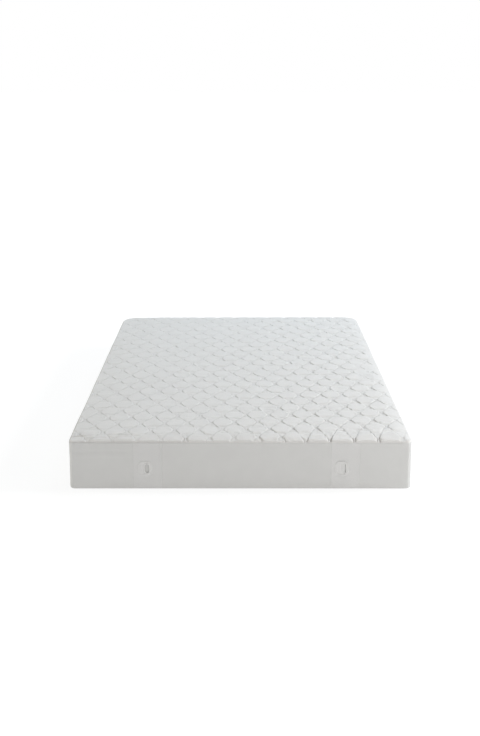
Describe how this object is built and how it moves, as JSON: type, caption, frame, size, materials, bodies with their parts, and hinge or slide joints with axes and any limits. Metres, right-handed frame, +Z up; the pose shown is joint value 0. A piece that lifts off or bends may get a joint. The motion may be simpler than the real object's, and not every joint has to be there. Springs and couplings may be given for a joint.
{
  "type": "heated mattress pad",
  "caption": "Quilted heated mattress pad with a fitted skirt that turns under the mattress and a control socket behind the skirt near each foot corner.",
  "frame": {"origin": "middle of the plane that the turned-under hem rests on", "axes": "+Z up, +Y along the bed from the foot to the head, +X to the right as seen from the foot"},
  "size_m": [1.524, 2.0344, 0.2313],
  "materials": {
    "quilted_cotton": "soft matte quilted cotton",
    "batting": "polyester batting",
    "woven_polyester": "matte plain weave",
    "skirt_knit": "matte stretch knit",
    "elastic": "ribbed elastic band",
    "satin": "satin tag, blank",
    "housing": "moulded, satin",
    "insulator": "moulded, satin",
    "lead_sheath": "PVC sheath",
    "wire_sheath": "PVC sheath",
    "pins": "turned, bright"
  },
  "bodies": {
    "pad": {"quilt_cover": "quilted_cotton", "quilt_fill": "batting", "quilt_backing": "woven_polyester", "seam_tape": "woven_polyester", "skirt_left": "skirt_knit", "skirt_right": "skirt_knit", "skirt_head": "skirt_knit", "skirt_foot_left": "skirt_knit", "skirt_foot_middle": "skirt_knit", "skirt_foot_right": "skirt_knit", "insert_left": "woven_polyester", "insert_right": "woven_polyester", "hem_elastic": "elastic", "heating_wire_left": "wire_sheath", "heating_wire_right": "wire_sheath", "wire_splice_left": "insulator", "wire_splice_right": "insulator", "lead_cable_left": "lead_sheath", "lead_cable_right": "lead_sheath", "strain_relief_left": "housing", "strain_relief_right": "housing", "socket_front_shell_left": "housing", "socket_front_shell_right": "housing", "socket_back_shell_left": "housing", "socket_back_shell_right": "housing", "contact_carrier_left": "insulator", "contact_carrier_right": "insulator", "contact_pin_left_1": "pins", "contact_pin_left_2": "pins", "contact_pin_left_3": "pins", "contact_pin_right_1": "pins", "contact_pin_right_2": "pins", "contact_pin_right_3": "pins", "socket_pocket_left": "woven_polyester", "socket_pocket_right": "woven_polyester", "outlet_patch_left": "woven_polyester", "outlet_patch_right": "woven_polyester"},
    "tag": {"care_tag": "satin"}
  },
  "joints": [
    {"name": "tag_flip", "type": "hinge", "parent": "pad", "child": "tag", "pos_m": [-0.3, 1.0167, 0.2117], "axis": [1, 0, 0], "range_deg": [0, 170]}
  ]
}
